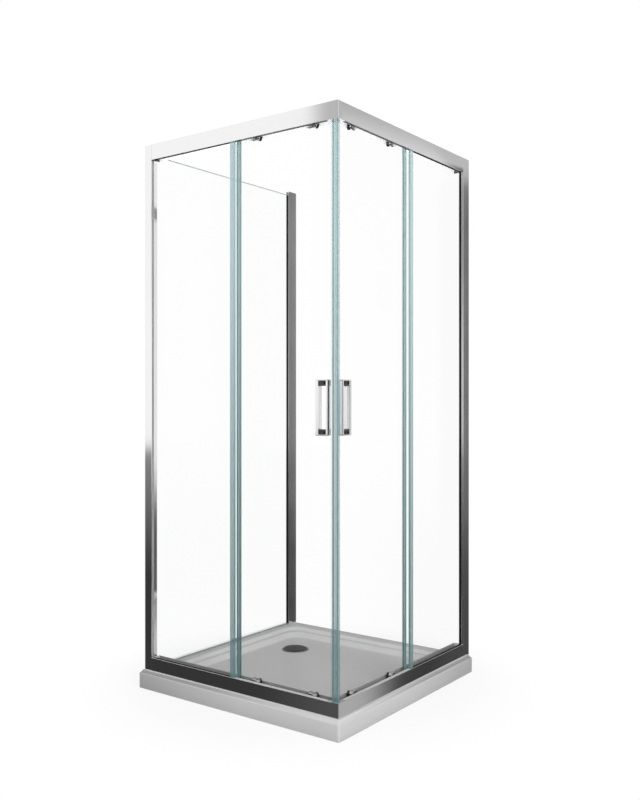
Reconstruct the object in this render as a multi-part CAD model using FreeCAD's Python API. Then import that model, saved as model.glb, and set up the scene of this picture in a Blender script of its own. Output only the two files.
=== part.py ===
# Three-sided corner-entry shower enclosure on a square low tray, with two sliding doors.
# Millimetres. +Z is up, the tray rests on z = 0, and x = y = 0 is the middle of the tray.
# The room wall is the plane y = +tray_side / 2. The doors meet at the front right corner.
#
# Each face is drawn in face coordinates and then laid on its side of the tray:
#   s runs along the face from the tray edge at the door corner (on the side panel, from the front edge),
#   v runs inward from the tray's outer edge, and z is up.
# The right face is the plain one, the front face is its mirror image across the diagonal,
# and the left side panel is its mirror image across x = 0.
import FreeCAD
import Part
import math
import os

Vector = FreeCAD.Vector

# Tray
tray_side = 900.0
tray_height = 65.0
tray_corner_radius = 7.0
edge_cove_radius = 9.5
edge_round_radius = 2.5
ledge_margin = 5.2
ledge_slope_width = 9.0
step_drop = 12.0
step_width = 18.0
basin_slope_width = 16.0
basin_corner_radius = 60.0
floor_fall = 4.0
floor_height = 34.0
waste_x = -224.0
waste_y = 194.0

# Waste outlet
waste_recess_radius = 56.0
waste_recess_depth = 2.5
waste_hole_radius = 45.0
waste_flange_radius = 53.0
waste_flange_thickness = 1.5
waste_gasket_thickness = 1.0
waste_cup_radius = 44.0
waste_wall = 2.5
waste_cup_bottom = 11.0
spigot_radius = 20.0
spigot_end = 2.0
locknut_radius = 54.0
locknut_height = 6.0
underside_recess_radius = 62.0
underside_recess_height = 20.0
cover_radius = 46.0
cover_thickness = 2.5
cover_stand_off = 2.0
cover_skirt_radius = 38.0
cover_skirt_depth = 14.0
cover_skirt_gap = 16.0

# Whole frame
overall_height = 1989.0
left_profile_drop = 14.0
rail_inset = 15.8
rail_wall = 1.8
rail_web = 1.4
sill_height = 48.5
header_height = 56.0
glass_thickness = 6.0
gasket_thickness = 3.0

# Corner post and wall profiles
post_width = 34.2
post_depth = 28.0
post_wall = 2.0
post_grip = 12.0
slot_gasket = 1.5
right_profile_width = 47.0
left_profile_width = 53.0
wall_plate_thickness = 2.0
wall_hole_radius = 3.0
wall_hole_end_gap = 155.0
wall_hole_count = 4
frame_reach = 10.0
frame_width = 42.0
frame_wall = 1.3
frame_grip = 25.0
frame_screw_end_gap = 255.0
frame_screw_radius = 1.6
frame_screw_head_radius = 3.2
frame_screw_head_height = 1.4
frame_screw_inset = 9.0

# Fixed panes and the side pane
front_pane_start = 450.0
right_pane_start = 462.0
pane_lift = 5.2
pane_top_gap = 9.2
header_gasket_height = 14.0
side_pane_lift = 2.0
side_pane_drop = 28.5
side_pane_post_grip = 6.8
side_pane_wall_grip = 38.0
side_gasket_grip = 12.0
side_seal_height = 10.0
filler_thickness = 3.0

# Corner connectors
corner_reach = 24.0
corner_leg = 20.2
corner_leg_play = 0.4
corner_round = 3.5

# Doors
hardware_clearance = 2.0
clamp_plate_thickness = 2.5
clamp_seat_height = 3.5
carriage_thickness = 2.0
axle_shoulder = 0.3
wheel_play = 0.3
wheel_width = 5.0
axle_head_thickness = 0.7
track_clearance = 0.4
door_overlap = 5.0
door_lift = 30.0
door_drop = 41.0
seal_wall = 2.0
seal_end_gap = 5.0
magnet_gap = 0.4
magnet_nose = 3.6
magnet_outset = 4.0
magnet_arm = 8.0
seal_clip_reach = 17.0
trailing_clip_reach = 15.0
seal_slide_gap = 0.4
fin_web_gap = 0.5
fin_notch = 28.0

# Rollers
near_roller = 132.0
far_roller = 369.0
bolt_offset = 11.0
top_bolt_drop = 1.0
bottom_bolt_lift = 1.5
wheel_half_spacing = 11.5
top_wheel_drop = 27.0
bottom_wheel_lift = 18.0
top_groove_radius = 9.0
bottom_groove_radius = 8.2
flange_depth = 1.4
groove_width = 2.0
rib_side_play = 0.3
rib_top_gap = 0.3
track_ledge_thickness = 2.0
track_ledge_drop = 1.7
track_ledge_clearance = 1.0
axle_radius = 3.0
axle_fit = 0.05
shoulder_radius = 5.0
axle_head_radius = 4.5
carriage_half_width = 22.0
carriage_margin = 10.0
bolt_margin = 2.0
carriage_round = 4.0
boss_radius = 7.0
boss_height = 3.0
bolt_radius = 2.5
bolt_hole_play = 0.3
bolt_head_radius = 4.5
glass_hole_radius = 5.0
top_seat_radius = 7.5
bottom_seat_radius = 9.0
seat_chamfer = 0.6
socket_radius = 2.2
socket_depth = 1.8
clamp_reach = 33.0
clamp_depth = 12.0
clamp_edge = 2.0
lever_peak = 9.0
lever_peak_reach = 19.0
lever_end_drop = 6.0
stop_gap = 1.0
stop_length = 12.0
stop_height = 21.0
end_cap_thickness = 3.0

# Handles
handle_near = 70.0
handle_height = 178.0
handle_middle = 1032.0
handle_near_bar = 5.5
handle_far_bar = 11.5
handle_cross_bar = 20.0
handle_window_width = 30.0
handle_outer_thickness = 5.0
handle_inner_thickness = 9.0
handle_round = 2.5
handle_pane_gap = 11.0
collar_wall = 1.2
collar_play = 0.3
collar_cross_margin = 2.0
collar_reach = 3.5
pocket_web = 1.6
handle_boss_radius = 4.0
handle_boss_sink = 6.0
handle_boss_play = 0.2
inlay_height = 17.0
inlay_thickness = 2.0
inlay_sink = 1.6
inlay_round = 1.0
handle_screw_radius = 2.0
handle_screw_head_radius = 3.6
handle_screw_head_height = 2.0
handle_screw_end_wall = 1.0
screw_end_play = 0.3

# Places that follow from the values above
half = tray_side / 2
pane_v0 = rail_inset + rail_wall + gasket_thickness
pane_v1 = pane_v0 + glass_thickness
channel_v0 = rail_inset + rail_wall
channel_v1 = pane_v1 + gasket_thickness
track_v0 = channel_v1 + rail_web
clamp_v0 = track_v0 + hardware_clearance + clamp_seat_height
door_v0 = clamp_v0 + clamp_plate_thickness
door_v1 = door_v0 + glass_thickness
carriage_v1 = door_v1 + carriage_thickness
wheel_v0 = carriage_v1 + axle_shoulder + wheel_play
wheel_v1 = wheel_v0 + wheel_width
axle_end = wheel_v1 + wheel_play + axle_head_thickness
track_v1 = axle_end + track_clearance
rail_back = track_v1 + rail_wall
rib_width = groove_width - 2 * rib_side_play
rib_v0 = (wheel_v0 + wheel_v1 - rib_width) / 2
rib_v1 = rib_v0 + rib_width

sill_floor = tray_height + rail_wall
sill_top = tray_height + sill_height
header_bottom = overall_height - header_height
header_ceiling = overall_height - rail_wall
pane_bottom = sill_floor + pane_lift
pane_top = header_ceiling - pane_top_gap
side_pane_bottom = tray_height + side_pane_lift
side_pane_top = overall_height - side_pane_drop
left_profile_top = overall_height - left_profile_drop
wall_hole_first = tray_height + wall_hole_end_gap
wall_hole_spacing = (left_profile_top - wall_hole_end_gap - wall_hole_first) / (wall_hole_count - 1)
frame_screw_first = tray_height + frame_screw_end_gap
frame_screw_last = overall_height - frame_screw_end_gap
frame_screw_heights = (frame_screw_first, (frame_screw_first + frame_screw_last) / 2, frame_screw_last)
door_bottom = tray_height + door_lift
door_top = overall_height - door_drop
top_bolt_height = header_bottom - top_bolt_drop
bottom_bolt_height = sill_top + bottom_bolt_lift
top_wheel_height = overall_height - top_wheel_drop
bottom_wheel_height = tray_height + bottom_wheel_lift
top_rib_top = top_wheel_height - top_groove_radius - rib_top_gap
bottom_rib_top = bottom_wheel_height - bottom_groove_radius - rib_top_gap
ledge_top = top_rib_top - track_ledge_drop
ledge_bottom = ledge_top - track_ledge_thickness
ledge_v0 = carriage_v1 + track_ledge_clearance

post_s1 = tray_side - rail_inset
post_s0 = post_s1 - post_width
post_v1 = rail_inset + post_depth
right_profile_s0 = tray_side - right_profile_width
left_profile_s0 = tray_side - left_profile_width
frame_s0 = right_profile_s0 - frame_reach
frame_s1 = frame_s0 + frame_width
front_pane_end = post_s0 + post_grip
right_pane_end = frame_s0 + frame_grip
side_pane_start = post_v1 - side_pane_post_grip
side_pane_end = left_profile_s0 + side_pane_wall_grip

corner_end = rail_inset + corner_reach
door_edge = door_v1 + seal_wall + magnet_gap + magnet_nose

handle_far = handle_near + handle_near_bar + handle_window_width + handle_far_bar
handle_bottom = handle_middle - handle_height / 2
handle_top = handle_middle + handle_height / 2
window_s0 = handle_near + handle_near_bar
window_s1 = window_s0 + handle_window_width
window_bottom = handle_bottom + handle_cross_bar
window_top = handle_top - handle_cross_bar
handle_screw_s = (window_s0 + window_s1) / 2
cross_bar_heights = (handle_bottom + handle_cross_bar / 2, handle_top - handle_cross_bar / 2)
handle_outer_v0 = door_v0 - handle_outer_thickness
handle_inner_v1 = door_v1 + handle_inner_thickness
collar_v1 = door_v1 + collar_reach
collar_bottom = handle_bottom + collar_cross_margin
collar_top = handle_top - collar_cross_margin
pocket_v1 = collar_v1 - pocket_web
pocket_spans = ((collar_bottom + collar_wall, window_bottom), (window_top, collar_top - collar_wall))
handle_boss_v0 = handle_outer_v0 + handle_boss_sink
handle_screw_v0 = handle_boss_v0 + handle_screw_end_wall
inner_inlay_v0 = handle_inner_v1 - inlay_sink

recess_floor = floor_height - waste_recess_depth
flange_bottom = recess_floor + waste_gasket_thickness
flange_top = flange_bottom + waste_flange_thickness
cover_play = 0.3


def block(s0, s1, v0, v1, z0, z1):
    """Box in face coordinates."""
    return Part.makeBox(v1 - v0, s1 - s0, z1 - z0, Vector(half - v1, s0 - half, z0))


def bar(s, z, v0, v1, radius):
    """Round bar that runs inward along v."""
    return Part.makeCylinder(radius, v1 - v0, Vector(half - v0, s - half, z), Vector(-1, 0, 0))


def prism(points, z0, z1):
    """Upright prism over a polygon of (s, v) points."""
    corners = [Vector(half - v, s - half, z0) for s, v in points]
    face = Part.Face(Part.makePolygon(corners + corners[:1]))
    return face.extrude(Vector(0, 0, z1 - z0))


def plate(s0, s1, v0, v1, z0, z1, radius):
    """Flat plate across the face with its four corners rounded."""
    solid = block(s0, s1, v0, v1, z0, z1)
    corners = [edge for edge in solid.Edges if abs(edge.tangentAt(edge.FirstParameter).x) > 0.9]
    return solid.makeFillet(radius, corners)


def sheet(points, v0, v1):
    """Flat piece across the face over a polygon of (s, z) points."""
    corners = [Vector(half - v1, s - half, z) for s, z in points]
    face = Part.Face(Part.makePolygon(corners + corners[:1]))
    return face.extrude(Vector(v1 - v0, 0, 0))


def join(shapes):
    """One solid out of overlapping or touching shapes."""
    return shapes[0].multiFuse(shapes[1:]).removeSplitter()


def as_drawn(shape):
    return shape


def to_front(shape):
    """Right face to front face: mirror image across the diagonal plane x = -y."""
    return shape.mirror(Vector(0, 0, 0), Vector(1, 1, 0))


def to_left(shape):
    """Right face to left face: mirror image across x = 0."""
    return shape.mirror(Vector(0, 0, 0), Vector(1, 0, 0))


def save(name, shapes, lay=as_drawn):
    """Write one named piece, or a group of separate solids under one name."""
    solids = [lay(solid) for shape in shapes for solid in shape.Solids]
    result = solids[0] if len(solids) == 1 else Part.makeCompound(solids)
    result.exportStep("parts/" + name + ".step")


# ---------------------------------------------------------------- tray and waste

def rounded_square(inset, radius, z):
    """Closed outline of a square with round corners, inset from the tray's outer edge."""
    reach = half - inset
    straight = reach - radius
    diagonal = straight + radius * math.cos(math.pi / 4)
    edges = []
    for quarter in range(4):
        turn = FreeCAD.Rotation(Vector(0, 0, 1), 90 * quarter)
        start = turn.multVec(Vector(reach, -straight, 0))
        end = turn.multVec(Vector(reach, straight, 0))
        middle = turn.multVec(Vector(diagonal, diagonal, 0))
        arc_end = turn.multVec(Vector(straight, reach, 0))
        edges.append(Part.makeLine(start, end))
        edges.append(Part.Arc(end, middle, arc_end).toShape())
    outline = Part.Wire(edges)
    outline.translate(Vector(0, 0, z))
    return outline


def tub(inset, radius, z0, grow, z1):
    """Tapered square well: the outline at z0, and the same one wider by grow at z1."""
    return Part.makeLoft([rounded_square(inset, radius, z0), rounded_square(inset - grow, radius, z1)], True)


def at_waste(radius, z0, z1):
    return Part.makeCylinder(radius, z1 - z0, Vector(waste_x, waste_y, z0))


def make_tray():
    """Low square tray with a coved outer edge, a stepped basin and a floor that falls to the waste."""
    slab = Part.makeBox(tray_side, tray_side, tray_height, Vector(-half, -half, 0))
    uprights = [edge for edge in slab.Edges if abs(edge.tangentAt(edge.FirstParameter).z) > 0.9]
    slab = slab.makeFillet(tray_corner_radius, uprights)
    for quarter in range(4):
        cove = Part.makeCylinder(
            edge_cove_radius, 2 * tray_side, Vector(-tray_side, -half, tray_height), Vector(1, 0, 0)
        )
        cove.rotate(Vector(0, 0, 0), Vector(0, 0, 1), 90 * quarter)
        slab = slab.cut(cove)
    rim_height = tray_height - edge_cove_radius
    rim = [
        edge for edge in slab.Edges
        if abs(edge.BoundBox.ZMin - rim_height) < 0.01
        and abs(edge.BoundBox.ZMax - rim_height) < 0.01
        and edge.Length > tray_side / 2
    ]
    slab = slab.makeFillet(edge_round_radius, rim)

    basin_inset = rail_back + ledge_margin + ledge_slope_width
    step_height = tray_height - step_drop
    slab = slab.cut(tub(basin_inset, basin_corner_radius, step_height, ledge_slope_width, tray_height))

    floor_inset = basin_inset + step_width + basin_slope_width
    well = tub(floor_inset, basin_corner_radius, floor_height, basin_slope_width, step_height)
    far_corner = math.hypot(half + abs(waste_x), half + abs(waste_y))
    funnel_points = [
        Vector(0, 0, floor_height),
        Vector(waste_recess_radius, 0, floor_height),
        Vector(far_corner, 0, floor_height + floor_fall),
        Vector(far_corner, 0, tray_height),
        Vector(0, 0, tray_height),
    ]
    funnel = Part.Face(Part.makePolygon(funnel_points + funnel_points[:1]))
    funnel = funnel.revolve(Vector(0, 0, 0), Vector(0, 0, 1), 360)
    funnel.translate(Vector(waste_x, waste_y, 0))
    slab = slab.cut(well.common(funnel))

    slab = slab.cut(at_waste(waste_recess_radius, recess_floor, floor_height + floor_fall))
    slab = slab.cut(at_waste(waste_hole_radius, 0, tray_height))
    return slab.cut(at_waste(underside_recess_radius, 0, underside_recess_height))


def make_waste():
    """Waste cup with its flange in the tray recess and a plain spigot pointing down."""
    body = join([
        at_waste(waste_flange_radius, flange_bottom, flange_top),
        at_waste(waste_cup_radius, waste_cup_bottom, flange_top),
        at_waste(spigot_radius, spigot_end, waste_cup_bottom + waste_wall),
    ])
    body = body.cut(at_waste(waste_cup_radius - waste_wall, waste_cup_bottom + waste_wall, flange_top))
    body = body.cut(at_waste(spigot_radius - waste_wall, spigot_end, flange_top))
    ring = at_waste(waste_flange_radius, recess_floor, flange_bottom)
    ring = ring.cut(at_waste(waste_hole_radius, recess_floor, flange_bottom))
    nut_bottom = underside_recess_height - locknut_height
    nut = at_waste(locknut_radius, nut_bottom, underside_recess_height)
    nut = nut.cut(at_waste(waste_cup_radius, nut_bottom, underside_recess_height))
    for index in range(6):
        notch = Part.makeBox(6, 8, locknut_height, Vector(locknut_radius - 3, -4, nut_bottom))
        notch.rotate(Vector(0, 0, 0), Vector(0, 0, 1), 60 * index)
        notch.translate(Vector(waste_x, waste_y, 0))
        nut = nut.cut(notch)
    return body, ring, nut


def make_waste_cover():
    """Round cover on three feet, kept in place by a skirt inside the waste cup."""
    disc_bottom = flange_top + cover_play + cover_stand_off
    disc_top = disc_bottom + cover_thickness
    disc = at_waste(cover_radius, disc_bottom, disc_top)
    rim = [edge for edge in disc.Edges if abs(edge.BoundBox.ZMin - disc_top) < 0.01]
    disc = disc.makeFillet(cover_thickness / 2, rim)
    skirt_bottom = disc_bottom - cover_skirt_depth
    skirt = at_waste(cover_skirt_radius, skirt_bottom, disc_bottom)
    skirt = skirt.cut(at_waste(cover_skirt_radius - waste_wall, skirt_bottom, disc_bottom))
    feet = []
    for index in range(3):
        foot = Part.makeBox(10, 6, cover_stand_off, Vector(cover_skirt_radius - waste_wall, -3, 0))
        foot = foot.common(Part.makeCylinder(cover_radius - 1, cover_stand_off))
        foot.rotate(Vector(0, 0, 0), Vector(0, 0, 1), 120 * index)
        foot.translate(Vector(waste_x, waste_y, disc_bottom - cover_stand_off))
        feet.append(foot)
        gap = Part.makeBox(
            cover_radius, cover_skirt_gap, cover_skirt_depth - 2 * cover_stand_off,
            Vector(0, -cover_skirt_gap / 2, skirt_bottom)
        )
        gap.rotate(Vector(0, 0, 0), Vector(0, 0, 1), 120 * index + 60)
        gap.translate(Vector(waste_x, waste_y, 0))
        skirt = skirt.cut(gap)
    return join([disc, skirt] + feet)


# ---------------------------------------------------------------- rails

def open_corner(shape, z0, z1):
    """Mitre a rail on the diagonal and clear its outer part for the corner connector."""
    reach = 2 * rail_back
    mitre = prism([(-rail_back, -rail_back), (reach, reach), (-rail_back, reach)], z0, z1)
    return shape.cut(mitre).cut(block(0, corner_end, 0, track_v0, z0, z1))


def make_header(end):
    """Header: open channel for the fixed pane outside, roller track with a raised rib inside."""
    parts = [
        block(0, end, rail_inset, channel_v0, header_bottom, overall_height),
        block(0, end, rail_inset, rail_back, header_ceiling, overall_height),
        block(0, end, channel_v1, track_v0, header_bottom, overall_height),
        block(0, end, track_v1, rail_back, header_bottom, overall_height),
        block(0, end, ledge_v0, rail_back, ledge_bottom, ledge_top),
        block(0, end, rib_v0, rib_v1, ledge_bottom, top_rib_top),
    ]
    return open_corner(join(parts), header_bottom, overall_height)


def make_sill(end):
    """Sill: the same channels turned upward, with the rib for the bottom rollers on its floor."""
    parts = [
        block(0, end, rail_inset, channel_v0, tray_height, sill_top),
        block(0, end, rail_inset, rail_back, tray_height, sill_floor),
        block(0, end, channel_v1, track_v0, tray_height, sill_top),
        block(0, end, track_v1, rail_back, tray_height, sill_top),
        block(0, end, rib_v0, rib_v1, tray_height, bottom_rib_top),
    ]
    return open_corner(join(parts), tray_height, sill_top)


def make_corner(z0, z1, leg_z0, leg_z1):
    """Corner connector: two outer arms with legs that enter the pane channels of both rails."""
    arm = block(rail_inset, corner_end, rail_inset, track_v0, z0, z1)
    body = join([arm, to_front(arm)])
    outer = [
        edge for edge in body.Edges
        if abs(edge.BoundBox.XMin - (half - rail_inset)) < 0.01
        and abs(edge.BoundBox.YMax - (rail_inset - half)) < 0.01
        and edge.BoundBox.ZLength > 1
    ]
    body = body.makeFillet(corner_round, outer)
    leg = block(
        corner_end, corner_end + corner_leg,
        channel_v0 + corner_leg_play, channel_v1 - corner_leg_play, leg_z0, leg_z1
    )
    return join([body, leg, to_front(leg)])


def make_end_caps(rail, end, z0, z1):
    """Plug in the end of a rail's track, taking the shape that the track leaves free."""
    return block(end - end_cap_thickness, end, track_v0, track_v1, z0, z1).cut(rail)


# ---------------------------------------------------------------- upright profiles and fixed panes

def make_post():
    """Corner post: a tube with one slot for the front pane and one for the side pane."""
    tube = block(post_s0, post_s1, rail_inset, post_v1, tray_height, overall_height)
    hollow = block(
        post_s0 + post_wall, post_s1 - post_wall,
        rail_inset + post_wall, post_v1 - post_wall, tray_height, overall_height
    )
    slot_v0 = pane_v0 - slot_gasket
    slot_v1 = pane_v1 + slot_gasket
    front_slot = block(post_s0, post_s0 + post_wall, slot_v0, slot_v1, tray_height, overall_height)
    side_slot = block(
        tray_side - slot_v1, tray_side - slot_v0,
        post_v1 - post_wall, post_v1, tray_height, overall_height
    )
    return tube.cut(hollow).cut(front_slot).cut(side_slot)


def make_wall_profile(start, top):
    """Wall profile: a U with its base against the room wall and a line of screw holes in the base."""
    outline = block(start, tray_side, rail_inset, track_v0, tray_height, top)
    hollow = block(start, tray_side - wall_plate_thickness, channel_v0, channel_v1, tray_height, top)
    profile = outline.cut(hollow)
    middle = half - (channel_v0 + channel_v1) / 2
    for index in range(wall_hole_count):
        height = wall_hole_first + index * wall_hole_spacing
        hole = Part.makeCylinder(
            wall_hole_radius, wall_plate_thickness,
            Vector(middle, half - wall_plate_thickness, height), Vector(0, 1, 0)
        )
        profile = profile.cut(hole)
    return profile


def make_frame_profile():
    """Frame profile that slides into the right wall profile and grips the right fixed pane."""
    body = block(frame_s0, frame_s1, channel_v0, channel_v1, sill_floor, header_ceiling)
    grip = block(
        frame_s0, right_pane_end + slot_gasket,
        channel_v0 + frame_wall, channel_v1 - frame_wall, sill_floor, header_ceiling
    )
    back = block(
        right_pane_end + slot_gasket + frame_wall, frame_s1,
        channel_v0 + frame_wall, channel_v1 - frame_wall, sill_floor, header_ceiling
    )
    body = body.cut(grip).cut(back)
    base = channel_v1 - frame_wall
    for height in frame_screw_heights:
        body = body.cut(bar(frame_screw_place(), height, base, channel_v1, frame_screw_radius))
    return body


def frame_screw_place():
    return right_profile_s0 + frame_screw_inset


def make_frame_screw(height):
    """Screw from the wall profile into the frame profile."""
    place = frame_screw_place()
    shaft = bar(place, height, channel_v1 - frame_wall, track_v0, frame_screw_radius)
    head = bar(place, height, track_v0, track_v0 + frame_screw_head_height, frame_screw_head_radius)
    return join([shaft, head])


def make_rail_gaskets(start, end):
    """Gasket in the sill channel, wrapped under the pane, and the one in the mouth of the header."""
    lower = block(start, end, channel_v0, channel_v1, sill_floor, sill_top)
    upper = block(start, end, channel_v0, channel_v1, header_bottom, header_bottom + header_gasket_height)
    return [lower, upper]


def make_overlap_seal(start):
    """Seal on a fixed pane's free edge: a clip and a fin that meets the door."""
    clip = block(
        start - seal_wall, start + seal_clip_reach,
        pane_v0 - seal_wall, pane_v1 + seal_wall, sill_top, header_bottom
    )
    fin = block(
        start - seal_wall, start,
        pane_v1 + seal_wall, door_v0 - seal_wall - seal_slide_gap,
        sill_top + fin_notch, header_bottom - fin_notch
    )
    pane_edge = block(start, start + seal_clip_reach, pane_v0, pane_v1, sill_top, header_bottom)
    return join([clip, fin]).cut(pane_edge)


def make_fillers(start, end):
    """Strips that close the empty pane channel above and below the doorway."""
    lower = block(start, end, channel_v0, channel_v1, sill_top - filler_thickness, sill_top)
    upper = block(start, end, channel_v0, channel_v1, header_bottom, header_bottom + filler_thickness)
    return [lower, upper]


# ---------------------------------------------------------------- doors

def door_travel(pane_start):
    """How far a door opens: until its handle nearly meets the fixed pane's seal."""
    return pane_start - seal_wall - handle_pane_gap - handle_far


def make_door_glass(end):
    """Door pane with four roller holes and the handle cut-out."""
    pane = block(door_edge, end, door_v0, door_v1, door_bottom, door_top)
    for roller in (near_roller, far_roller):
        for height in (top_bolt_height, bottom_bolt_height):
            pane = pane.cut(bar(roller - bolt_offset, height, door_v0, door_v1, glass_hole_radius))
    return pane.cut(make_collar(collar_play, door_v0, door_v1))


def make_collar(play, v0, v1):
    """Outline of the handle collar, larger all round by play."""
    return block(
        window_s0 - collar_wall - play, window_s1 + collar_wall + play, v0, v1,
        collar_bottom - play, collar_top + play
    )


def make_magnet_seal():
    """Magnet seal on the leading edge, with its 45 degree face just short of the diagonal."""
    outer = door_v0 - seal_wall - magnet_outset
    inner = door_v1 + seal_wall
    z0 = door_bottom + seal_end_gap
    z1 = door_top - seal_end_gap
    head = prism([
        (outer + magnet_gap, outer), (door_edge, outer),
        (door_edge, inner), (inner + magnet_gap, inner),
    ], z0, z1)
    arms = [
        block(door_edge, door_edge + magnet_arm, door_v0 - seal_wall, door_v0, z0, z1),
        block(door_edge, door_edge + magnet_arm, door_v1, inner, z0, z1),
    ]
    return join([head] + arms)


def make_trailing_seal(end):
    """Seal on the door's trailing edge: a clip and a fin that reaches toward the fixed pane."""
    z0 = door_bottom + seal_end_gap
    z1 = door_top - seal_end_gap
    clip = block(
        end - trailing_clip_reach, end + seal_wall, door_v0 - seal_wall, door_v1 + seal_wall, z0, z1
    )
    fin = block(end, end + seal_wall, track_v0 + fin_web_gap, door_v0 - seal_wall, z0, z1)
    return join([clip, fin]).cut(block(end - trailing_clip_reach, end, door_v0, door_v1, z0, z1))


def make_carriage(roller, axles, bolt_height, z0, z1):
    """Carriage plate on the pane's inner side, with a threaded boss and fixed axles."""
    s0 = roller - carriage_half_width
    s1 = roller + carriage_half_width
    shapes = [
        plate(s0, s1, door_v1, carriage_v1, z0, z1, carriage_round),
        bar(roller - bolt_offset, bolt_height, door_v1, carriage_v1 + boss_height, boss_radius),
    ]
    for place, height in axles:
        shapes.append(bar(place, height, door_v1, carriage_v1 + axle_shoulder, shoulder_radius))
        shapes.append(bar(place, height, door_v1, axle_end, axle_radius))
        shapes.append(bar(place, height, wheel_v1 + wheel_play, axle_end, axle_head_radius))
    hole = bar(roller - bolt_offset, bolt_height, door_v1, carriage_v1 + boss_height, bolt_radius)
    return join(shapes).cut(hole)


def top_axles(roller):
    return [(roller - wheel_half_spacing, top_wheel_height), (roller + wheel_half_spacing, top_wheel_height)]


def make_wheel(place, height, groove_radius):
    """Grooved wheel that runs on the rib of its rail."""
    groove_v0 = (wheel_v0 + wheel_v1 - groove_width) / 2
    groove_v1 = groove_v0 + groove_width
    flange_radius = groove_radius + flange_depth
    wheel = join([
        bar(place, height, wheel_v0, groove_v0, flange_radius),
        bar(place, height, groove_v0, groove_v1, groove_radius),
        bar(place, height, groove_v1, wheel_v1, flange_radius),
    ])
    return wheel.cut(bar(place, height, wheel_v0, wheel_v1, axle_radius + axle_fit))


def make_clamp_plate(place, height, seat_radius, arm):
    """Outer clamp plate: an arm behind the rail's lip and a round seat around the bolt head."""
    seat_v0 = clamp_v0 - clamp_seat_height
    seat = chamfer_outer_rim(bar(place, height, seat_v0, door_v0, seat_radius))
    body = join([seat, sheet([(place + along, height + up) for along, up in arm], clamp_v0, door_v0)])
    body = body.cut(bar(place, height, seat_v0, clamp_v0, bolt_head_radius + bolt_hole_play))
    return body.cut(bar(place, height, clamp_v0, door_v0, bolt_radius + bolt_hole_play))


def top_arm():
    """Corners of a top clamp plate's arm, counted from its bolt."""
    return [(0, clamp_depth), (clamp_reach, clamp_depth), (clamp_reach, -clamp_edge), (0, -clamp_edge)]


def bottom_arm():
    """Corners of a bottom clamp plate's arm, with the hump of its release lever."""
    return [
        (0, -clamp_depth), (clamp_reach, -clamp_depth), (clamp_reach, -lever_end_drop),
        (lever_peak_reach, lever_peak), (0, lever_peak),
    ]


def chamfer_outer_rim(disc):
    rim = [edge for edge in disc.Edges if abs(edge.BoundBox.XMin - disc.BoundBox.XMax) < 0.01]
    return disc.makeChamfer(seat_chamfer, rim)


def make_clamp_bolt(place, height):
    """Bolt with a round socket head, through the pane into the carriage boss."""
    head_v0 = clamp_v0 - clamp_seat_height
    head = chamfer_outer_rim(bar(place, height, head_v0, clamp_v0, bolt_head_radius))
    corners = []
    for index in range(6):
        angle = math.radians(60 * index)
        corners.append((place + socket_radius * math.cos(angle), height + socket_radius * math.sin(angle)))
    head = head.cut(sheet(corners, head_v0, head_v0 + socket_depth))
    return join([head, bar(place, height, clamp_v0, carriage_v1 + boss_height, bolt_radius)])


def handle_window(v0, v1):
    return block(window_s0, window_s1, v0, v1, window_bottom, window_top)


def make_inner_inlay(height):
    """Plate let into a cross bar of the inner handle frame."""
    return plate(
        window_s0, window_s1, inner_inlay_v0, inner_inlay_v0 + inlay_thickness,
        height - inlay_height / 2, height + inlay_height / 2, inlay_round
    )


def make_outer_inlay(height, span):
    """Plate on the bottom of a deep pocket, with a hole for the screw boss."""
    inlay_v0 = pocket_v1 - inlay_thickness
    inlay = block(window_s0, window_s1, inlay_v0, pocket_v1, *span)
    return inlay.cut(bar(handle_screw_s, height, inlay_v0, pocket_v1, handle_boss_radius + handle_boss_play))


def make_handle_outer():
    """Outer handle frame: its collar runs through the pane, with a deep pocket at each end of the window."""
    frame = plate(handle_near, handle_far, handle_outer_v0, door_v0, handle_bottom, handle_top, handle_round)
    frame = join([frame, make_collar(0, door_v0, collar_v1)]).cut(handle_window(handle_outer_v0, collar_v1))
    for span in pocket_spans:
        frame = frame.cut(block(window_s0, window_s1, handle_outer_v0, pocket_v1, *span))
    bosses = [
        bar(handle_screw_s, height, handle_boss_v0, collar_v1, handle_boss_radius)
        for height in cross_bar_heights
    ]
    frame = join([frame] + bosses)
    for height in cross_bar_heights:
        frame = frame.cut(bar(handle_screw_s, height, handle_screw_v0, collar_v1, handle_screw_radius))
    return frame


def make_handle_inner():
    """Inner handle frame: it takes the end of the collar and is screwed to the outer frame."""
    frame = plate(handle_near, handle_far, door_v1, handle_inner_v1, handle_bottom, handle_top, handle_round)
    frame = frame.cut(make_collar(collar_play, door_v1, collar_v1))
    frame = frame.cut(handle_window(collar_v1, handle_inner_v1))
    for height in cross_bar_heights:
        frame = frame.cut(make_inner_inlay(height))
        frame = frame.cut(make_handle_screw(height))
    return frame


def make_handle_screw(height):
    """Screw whose head lies under the inner inlay."""
    head_v0 = inner_inlay_v0 - handle_screw_head_height
    shaft = bar(handle_screw_s, height, handle_screw_v0 + screw_end_play, head_v0, handle_screw_radius)
    head = bar(handle_screw_s, height, head_v0, inner_inlay_v0, handle_screw_head_radius)
    return join([shaft, head])


def make_stops(pane_start):
    """Stops in the header track, just beyond the outermost wheels of the shut and the open door."""
    wheel_reach = wheel_half_spacing + top_groove_radius + flange_depth + stop_gap
    shut_side = near_roller - wheel_reach
    open_side = far_roller + door_travel(pane_start) + wheel_reach
    return [
        block(start, start + stop_length, rib_v1, track_v1, ledge_top, ledge_top + stop_height)
        for start in (shut_side - stop_length, open_side)
    ]


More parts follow.
